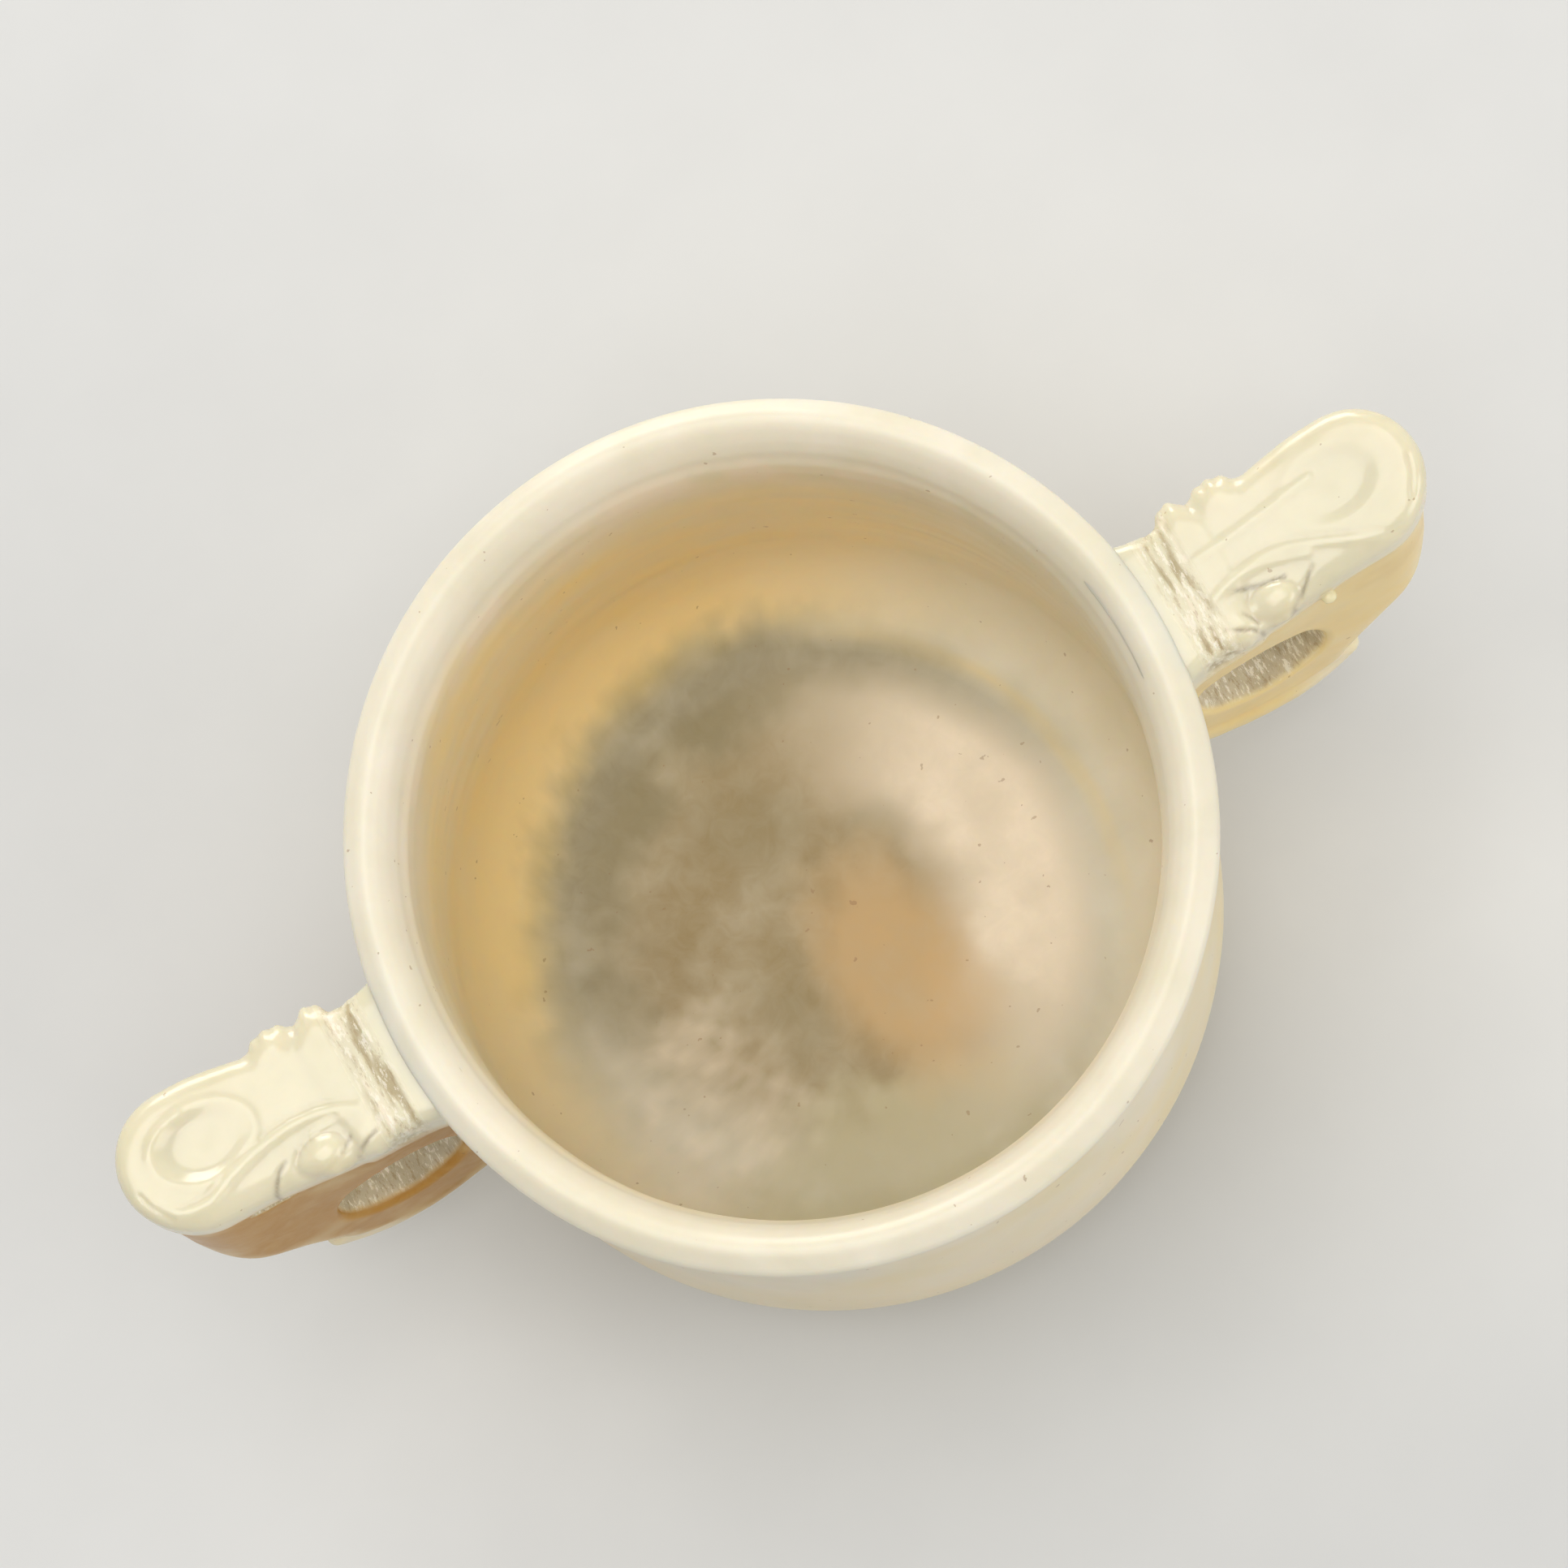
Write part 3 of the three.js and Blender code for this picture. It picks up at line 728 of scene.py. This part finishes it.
def linear(red, green, blue):
    """A colour given in sRGB from 0 to 255, as the linear values that shaders use."""
    share = np.array([red, green, blue]) / 255
    low, high = share / 12.92, ((share + 0.055) / 1.055) ** 2.4
    return (*np.where(share <= 0.04045, low, high), 1.0)


def link(tree, source, target):
    """Joins an output socket to an input socket."""
    tree.links.new(source, target)


def mix_colour(tree, factor, colour_a, colour_b):
    """A Mix node for colours; the factor may be a number or a socket, and so may the colours."""
    node = tree.nodes.new("ShaderNodeMix")
    node.data_type = "RGBA"
    for index, value in ((0, factor), (6, colour_a), (7, colour_b)):
        if isinstance(value, bpy.types.NodeSocket):
            link(tree, value, node.inputs[index])
        else:
            node.inputs[index].default_value = value
    return node.outputs[2]


def math_node(tree, operation, first, second=0.0, third=0.0):
    """A Math node whose inputs may be numbers or sockets."""
    node = tree.nodes.new("ShaderNodeMath")
    node.operation = operation
    for index, value in enumerate((first, second, third)):
        if isinstance(value, bpy.types.NodeSocket):
            link(tree, value, node.inputs[index])
        else:
            node.inputs[index].default_value = value
    return node.outputs[0]


def noise_node(tree, vector, scale, detail, roughness=0.5, distortion=0.0):
    """A noise texture on object coordinates in metres."""
    node = tree.nodes.new("ShaderNodeTexNoise")
    node.inputs["Scale"].default_value = scale
    node.inputs["Detail"].default_value = detail
    node.inputs["Roughness"].default_value = roughness
    node.inputs["Distortion"].default_value = distortion
    link(tree, vector, node.inputs["Vector"])
    return node.outputs["Fac"]


# %% The tint group
TINTS = {
    "tan": (linear(154, 134, 88), 0.95),
    "sage": (linear(198, 190, 154), 0.85),
    # Honey is kept light: besides the stone's own colour it paints the glow of light through the thin far
    # wall and the thick flanks of the handles.
    "honey_and_glow": (linear(246, 222, 158), 0.90),
    # Amber is the stone's deep amber, darkened further to paint the shade on the flanks under the plates.
    "amber_and_shade": (linear(172, 120, 40), 0.90),
    "slate": (linear(146, 134, 96), 0.85),
    # Milk is the stone's own milky white, and also the colour of the painted glow over the foot ring.
    "milk_and_glow": (linear(240, 226, 204), 0.92),
    "peach": (linear(204, 170, 116), 0.85),
    "crack": (linear(84, 58, 34), 0.90),
}


def tint_group():
    """Node group: pale and cool stone clouded together, then each tint laid over by its own mask."""
    tree = bpy.data.node_groups.new("jade tints", "ShaderNodeTree")
    sockets = tree.interface
    sockets.new_socket("Vector", in_out="INPUT", socket_type="NodeSocketVector")
    sockets.new_socket("Pale", in_out="INPUT", socket_type="NodeSocketColor")
    sockets.new_socket("Cool", in_out="INPUT", socket_type="NodeSocketColor")
    sockets.new_socket("Color", in_out="OUTPUT", socket_type="NodeSocketColor")
    sockets.new_socket("Roughness", in_out="OUTPUT", socket_type="NodeSocketFloat")
    sockets.new_socket("Shine", in_out="OUTPUT", socket_type="NodeSocketFloat")
    sockets.new_socket("Height", in_out="OUTPUT", socket_type="NodeSocketFloat")
    given, result = tree.nodes.new("NodeGroupInput"), tree.nodes.new("NodeGroupOutput")
    vector = given.outputs["Vector"]
    cloud = noise_node(tree, vector, 95, 5, 0.55, 0.6)
    fibre = noise_node(tree, vector, 420, 6, 0.6, 1.2)
    share = math_node(tree, "MULTIPLY_ADD", cloud, 2.4, -0.75)
    base = mix_colour(tree, share, given.outputs["Pale"], given.outputs["Cool"])
    colour = mix_colour(tree, math_node(tree, "MULTIPLY", fibre, 0.16), base, linear(246, 238, 214))
    grade = math_node(tree, "MULTIPLY_ADD", fibre, 0.3, 0.85)
    for name, (tint, strength) in TINTS.items():
        layer = tree.nodes.new("ShaderNodeAttribute")
        layer.attribute_name = name
        amount = math_node(tree, "MULTIPLY", layer.outputs["Fac"], strength)
        amount = math_node(tree, "MULTIPLY", amount, grade)
        colour = mix_colour(tree, math_node(tree, "MINIMUM", amount, 1.0), colour, tint)
    speck = math_node(tree, "GREATER_THAN", noise_node(tree, vector, 900, 2, 0.5), 0.745)
    colour = mix_colour(tree, math_node(tree, "MULTIPLY", speck, 0.45), colour, linear(150, 112, 70))
    raw, dull = tree.nodes.new("ShaderNodeAttribute"), tree.nodes.new("ShaderNodeAttribute")
    raw.attribute_name, dull.attribute_name = "raw", "dull"
    satin = math_node(tree, "MULTIPLY_ADD", fibre, 0.10, 0.13)
    link(tree, math_node(tree, "MULTIPLY_ADD", raw.outputs["Fac"], 0.34, satin), result.inputs["Roughness"])
    link(tree, math_node(tree, "MULTIPLY_ADD", dull.outputs["Fac"], -0.9, 1.0), result.inputs["Shine"])
    stretch = tree.nodes.new("ShaderNodeVectorMath")
    stretch.operation = "MULTIPLY"
    stretch.inputs[1].default_value = (1, 0.25, 0.6)
    link(tree, vector, stretch.inputs[0])
    grain = noise_node(tree, stretch.outputs[0], 2200, 5, 0.75)
    flecks = math_node(tree, "MULTIPLY", math_node(tree, "GREATER_THAN", grain, 0.56), raw.outputs["Fac"])
    dirt = math_node(tree, "MULTIPLY", math_node(tree, "LESS_THAN", grain, 0.42), raw.outputs["Fac"])
    colour = mix_colour(tree, math_node(tree, "MULTIPLY", flecks, 0.65), colour, linear(248, 242, 226))
    colour = mix_colour(tree, math_node(tree, "MULTIPLY", dirt, 0.45), colour, linear(160, 130, 88))
    link(tree, colour, result.inputs["Color"])
    bumps = math_node(tree, "MULTIPLY", math_node(tree, "MULTIPLY", grain, raw.outputs["Fac"]), 2.5)
    link(tree, math_node(tree, "MULTIPLY_ADD", fibre, 0.10, bumps), result.inputs["Height"])
    return tree


def jade(name, pale, cool, polish, shine, coat):
    """Polished nephrite: the shared tints, light scattered under the skin, and a clear polish."""
    made = bpy.data.materials.new(name)
    made.use_nodes = True
    tree = made.node_tree
    shader = tree.nodes["Principled BSDF"]
    place = tree.nodes.new("ShaderNodeTexCoord")
    group = tree.nodes.new("ShaderNodeGroup")
    group.node_tree = bpy.data.node_groups.get("jade tints") or tint_group()
    link(tree, place.outputs["Object"], group.inputs["Vector"])
    group.inputs["Pale"].default_value = pale
    group.inputs["Cool"].default_value = cool
    link(tree, group.outputs["Color"], shader.inputs["Base Color"])
    link(tree, math_node(tree, "ADD", group.outputs["Roughness"], polish), shader.inputs["Roughness"])
    left_shine = group.outputs["Shine"]
    link(tree, math_node(tree, "MULTIPLY", left_shine, shine), shader.inputs["Specular IOR Level"])
    link(tree, math_node(tree, "MULTIPLY", left_shine, coat), shader.inputs["Coat Weight"])
    bumps = tree.nodes.new("ShaderNodeBump")
    bumps.inputs["Strength"].default_value = 0.35
    bumps.inputs["Distance"].default_value = 0.0002
    link(tree, group.outputs["Height"], bumps.inputs["Height"])
    link(tree, bumps.outputs["Normal"], shader.inputs["Normal"])
    shader.inputs["IOR"].default_value = 1.61
    shader.inputs["Subsurface Weight"].default_value = 0.55
    shader.inputs["Subsurface Radius"].default_value = (1.0, 0.72, 0.38)
    shader.inputs["Subsurface Scale"].default_value = 0.0032
    shader.inputs["Coat Roughness"].default_value = 0.12
    return made


bowl_jade = jade("bowl jade", linear(228, 222, 206), linear(218, 212, 190), 0.14, 0.22, 0.04)
handle_jade = jade("handle jade", linear(221, 214, 188), linear(211, 206, 179), 0.06, 0.45, 0.25)
bowl_piece.data.materials.append(bowl_jade)
for piece in handles:
    piece.data.materials.append(handle_jade)
print("materials:", bowl_jade.name, handle_jade.name)

# %% [markdown]
# ## Camera, light and floor
# The photograph looks almost straight down into the cup, 15 degrees off the vertical, turned so
# that the handles lie on a slant. The camera is built from those angles and from the place and
# scale of the rim in the picture.

# %% Camera
PICTURE = 1932
TILT, ROLL = math.radians(15), math.radians(30.3)
DISTANCE = 480
PIXELS_PER_MM = 13.6
CREST_AT = (953.8, 1017.4)


def photo_camera():
    """Camera axes from tilt and roll, placed so that the rim's centre falls on its pixel."""
    back = np.array([0, -math.sin(TILT), math.cos(TILT)])
    level, rise = np.array([1, 0, 0]), np.array([0, math.cos(TILT), math.sin(TILT)])
    right = math.cos(ROLL) * level - math.sin(ROLL) * rise
    up = math.sin(ROLL) * level + math.cos(ROLL) * rise
    across = (CREST_AT[0] - PICTURE / 2) / PIXELS_PER_MM
    above = (PICTURE / 2 - CREST_AT[1]) / PIXELS_PER_MM
    place = np.array([0, 0, CUP_HEIGHT]) + DISTANCE * back - across * right - above * up
    data = bpy.data.cameras.new("camera")
    data.sensor_width = 36
    data.lens = PIXELS_PER_MM * DISTANCE * data.sensor_width / PICTURE
    data.clip_start, data.clip_end = 0.01, 10
    made = bpy.data.objects.new("camera", data)
    bpy.context.collection.objects.link(made)
    turn = Matrix(np.stack([right, up, back], -1).tolist())
    made.matrix_world = Matrix.Translation(Vector((place * MM).tolist())) @ turn.to_4x4()
    return made


camera = photo_camera()
bpy.context.scene.camera = camera
print("camera at", [round(v, 3) for v in camera.location], "lens", round(camera.data.lens, 1))

# %% [markdown]
# The floor is a plain pale sheet. Three large soft lamps light the stone: one almost straight
# overhead, a weaker one at the front right, and a low one behind for the glow in thin edges.

# %% Floor and lamps


def floor_sheet():
    """A wide flat sheet under the foot."""
    half = 2.0
    corners = np.array([[-half, -half, 0], [half, -half, 0], [half, half, 0], [-half, half, 0]]) / MM
    sheet = make_mesh("floor", corners, [[0, 1, 2, 3]], {})
    paper = bpy.data.materials.new("pale paper")
    paper.use_nodes = True
    tree = paper.node_tree
    shader = tree.nodes["Principled BSDF"]
    grain = noise_node(tree, tree.nodes.new("ShaderNodeTexCoord").outputs["Object"], 60, 3)
    colour = mix_colour(tree, grain, linear(206, 206, 204), linear(212, 212, 210))
    link(tree, colour, shader.inputs["Base Color"])
    shader.inputs["Roughness"].default_value = 0.85
    sheet.data.materials.append(paper)


def lamp(name, place, aim, size, watts, colour):
    """A square area lamp at a place in metres, turned towards a point."""
    data = bpy.data.lights.new(name, "AREA")
    data.size, data.energy, data.color = size, watts, colour
    made = bpy.data.objects.new(name, data)
    made.location = place
    made.rotation_euler = (Vector(aim) - Vector(place)).to_track_quat("-Z", "Y").to_euler()
    bpy.context.collection.objects.link(made)


floor_sheet()
MIDDLE_OF_CUP = (0, 0, 0.03)
WARM_WHITE, WARMER = (1.0, 0.98, 0.95), (1.0, 0.96, 0.90)
lamp("overhead", (-0.10, -0.02, 0.95), MIDDLE_OF_CUP, 0.85, 5.6, WARM_WHITE)
lamp("front right", (0.62, -0.50, 0.34), MIDDLE_OF_CUP, 0.55, 2.4, WARM_WHITE)
lamp("low behind", (0.15, 0.75, 0.30), MIDDLE_OF_CUP, 0.40, 3.0, WARMER)
world = bpy.data.worlds.new("soft room")
world.use_nodes = True
world.node_tree.nodes["Background"].inputs["Color"].default_value = (0.95, 0.97, 1.0, 1)
world.node_tree.nodes["Background"].inputs["Strength"].default_value = 0.45
bpy.context.scene.world = world
bpy.context.scene.view_settings.view_transform = "Standard"
